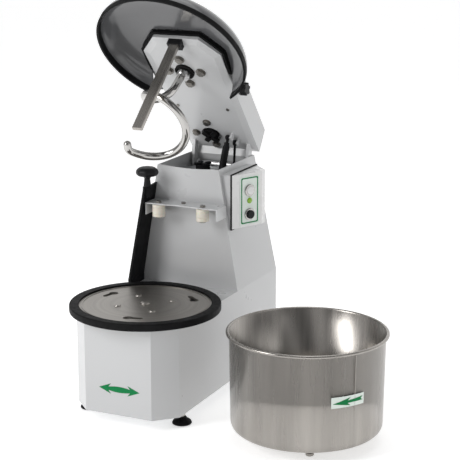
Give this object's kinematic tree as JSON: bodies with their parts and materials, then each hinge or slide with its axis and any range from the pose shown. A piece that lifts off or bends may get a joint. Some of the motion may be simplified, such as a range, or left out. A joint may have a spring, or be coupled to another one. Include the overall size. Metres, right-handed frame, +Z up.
{
  "type": "commercial stand mixer",
  "caption": "Floor-standing spiral dough mixer: boxy base with turntable, tapered column, lifting head with spiral and dished lid, and a removable steel bowl beside it.",
  "frame": {"origin": "middle of the whole footprint, bowl included, on the floor", "axes": "+X to the operator's right, -Y to the operator, +Z up"},
  "size_m": [0.8923, 0.7607, 1.1219],
  "materials": {
    "white_paint": "gloss powder coat",
    "dark_paint": "satin black",
    "grey_paint": "satin",
    "zinc": "zinc plated",
    "stainless": "brushed",
    "turned_steel": "turned",
    "chrome": "polished",
    "cast_alloy": "cast",
    "cast_iron": "as cast",
    "rubber": "matt",
    "smoked": "smoked gloss",
    "nylon": "matt",
    "black_plastic": "satin",
    "white_plastic": "gloss",
    "label": "printed film",
    "lamp": "translucent green"
  },
  "bodies": {
    "machine": {"base_shell": "white_paint", "column_shell": "white_paint", "rear_cover": "white_paint", "cover_screws": "zinc", "chassis": "grey_paint", "column_crown": "grey_paint", "hinge_pin": "turned_steel", "rubber_feet": "rubber", "foot_studs": "zinc", "lock_post": "dark_paint", "roller_bracket": "white_paint", "roller_pins": "zinc", "control_box": "white_plastic", "control_gasket": "rubber", "control_mount": "white_paint", "control_label": "label", "switch_collars": "chrome", "pilot_lamp": "lamp", "cable_gland": "black_plastic", "motor_housing": "cast_alloy", "drive_belts": "rubber", "cabinet_bearings": "turned_steel", "spindle_housing": "cast_iron", "bowl_reducer": "cast_alloy"},
    "motor": {"motor_rotor": "turned_steel"},
    "drive": {"main_shaft": "turned_steel", "main_pulleys": "cast_iron", "lower_dog": "dark_paint"},
    "reducer": {"reducer_input": "cast_iron"},
    "turntable": {"turntable_plate": "stainless", "turntable_ring": "rubber", "turntable_spindle": "turned_steel", "turntable_bolts": "stainless"},
    "rest_stop": {"rest_knob": "black_plastic"},
    "roller_l": {"roller_left": "nylon"},
    "roller_r": {"roller_right": "nylon"},
    "start": {"start_button": "white_plastic"},
    "stop": {"stop_button": "black_plastic"},
    "head": {"head_shell": "white_paint", "head_plate": "white_paint", "head_frame": "grey_paint", "hinge_arms": "white_paint", "head_bolts": "zinc", "head_bearings": "turned_steel", "head_belt": "rubber", "spiral_seal": "rubber", "breaker_bar": "stainless", "bar_mount": "black_plastic", "lid_shell": "smoked", "lid_trim": "rubber"},
    "spiral": {"spiral_shaft": "turned_steel", "spiral_tool": "chrome"},
    "head_dog": {"upper_dog": "dark_paint"},
    "knob_l": {"lid_knob_left": "black_plastic"},
    "knob_r": {"lid_knob_right": "black_plastic"},
    "gas_tube": {"gas_cylinder": "dark_paint"},
    "gas_piston": {"gas_rod": "chrome"},
    "stay": {"stay_rod": "dark_paint"},
    "mixing_bowl": {"bowl": "stainless", "bowl_studs": "stainless"}
  },
  "joints": [
    {"name": "head_tilt", "type": "hinge", "parent": "machine", "child": "head", "pos_m": [-0.23475, 0.31588, 0.5866], "axis": [1, 0, 0], "range_deg": [0, 48.3]},
    {"name": "spiral_spin", "type": "hinge", "parent": "head", "child": "spiral", "pos_m": [-0.24675, 0.10217, 0.88719], "axis": [0, 0.7466, 0.6652], "continuous": true},
    {"name": "upper_dog_spin", "type": "hinge", "parent": "head", "child": "head_dog", "pos_m": [-0.25475, 0.2871, 0.67963], "axis": [0, 0.7466, 0.6652], "continuous": true},
    {"name": "drive_spin", "type": "hinge", "parent": "machine", "child": "drive", "pos_m": [-0.25475, 0.22728, 0.3], "axis": [0, 0, 1], "continuous": true},
    {"name": "motor_spin", "type": "hinge", "parent": "machine", "child": "motor", "pos_m": [-0.17435, 0.15978, 0.18], "axis": [0, 0, 1], "continuous": true},
    {"name": "reducer_spin", "type": "hinge", "parent": "machine", "child": "reducer", "pos_m": [-0.23475, -0.16772, 0.087], "axis": [0, 0, 1], "continuous": true},
    {"name": "plate_spin", "type": "hinge", "parent": "machine", "child": "turntable", "pos_m": [-0.23475, -0.16772, 0.29], "axis": [0, 0, 1], "continuous": true},
    {"name": "roller_left_spin", "type": "hinge", "parent": "machine", "child": "roller_l", "pos_m": [-0.30275, 0.04528, 0.502], "axis": [0, 0, 1], "continuous": true},
    {"name": "roller_right_spin", "type": "hinge", "parent": "machine", "child": "roller_r", "pos_m": [-0.16675, 0.04528, 0.502], "axis": [0, 0, 1], "continuous": true},
    {"name": "start_push", "type": "slide", "parent": "machine", "child": "start", "axis": [-0.8988, 0.4384, 0], "range_m": [0, 0.004], "stiffness_N_per_m": 400, "springref_m": -0.003},
    {"name": "stop_push", "type": "slide", "parent": "machine", "child": "stop", "axis": [-0.8988, 0.4384, 0], "range_m": [0, 0.004], "stiffness_N_per_m": 400, "springref_m": -0.003},
    {"name": "rest_knob_turn", "type": "hinge", "parent": "machine", "child": "rest_stop", "pos_m": [-0.33513, 0.03928, 0.6], "axis": [0, 0, 1], "range_deg": [-180, 180]},
    {"name": "lid_knob_left_turn", "type": "hinge", "parent": "head", "child": "knob_l", "pos_m": [-0.36475, 0.17788, 0.83679], "axis": [-1, 0, 0], "range_deg": [-180, 180]},
    {"name": "lid_knob_right_turn", "type": "hinge", "parent": "head", "child": "knob_r", "pos_m": [-0.10475, 0.17788, 0.83679], "axis": [1, 0, 0], "range_deg": [-180, 180]},
    {"name": "gas_tube_swing", "type": "hinge", "parent": "head", "child": "gas_tube", "pos_m": [-0.19675, 0.27348, 0.67687], "axis": [1, 0, 0], "range_deg": [-40.08, 0]},
    {"name": "gas_rod_slide", "type": "slide", "parent": "gas_tube", "child": "gas_piston", "axis": [0, -0.4217, -0.9067], "range_m": [-0.07711, 0]},
    {"name": "stay_swing", "type": "hinge", "parent": "head", "child": "stay", "pos_m": [-0.18275, 0.29161, 0.65954], "axis": [1, 0, 0], "range_deg": [-31.2, 0]},
    {"name": "bowl_lift", "type": "slide", "parent": "machine", "child": "mixing_bowl", "axis": [0, 0, 1], "range_m": [0, 0.5]}
  ],
  "couplings": [
    {"joint": "motor_spin", "follows": "drive_spin", "ratio": 3},
    {"joint": "reducer_spin", "follows": "drive_spin", "ratio": 0.37778},
    {"joint": "plate_spin", "follows": "drive_spin", "ratio": 0.031481},
    {"joint": "upper_dog_spin", "follows": "drive_spin", "ratio": 1},
    {"joint": "spiral_spin", "follows": "drive_spin", "ratio": 0.33333},
    {"joint": "gas_tube_swing", "follows": "head_tilt", "ratio": -0.8256},
    {"joint": "gas_rod_slide", "follows": "head_tilt", "m_per_rad": -0.091231},
    {"joint": "stay_swing", "follows": "head_tilt", "ratio": -0.64193}
  ]
}
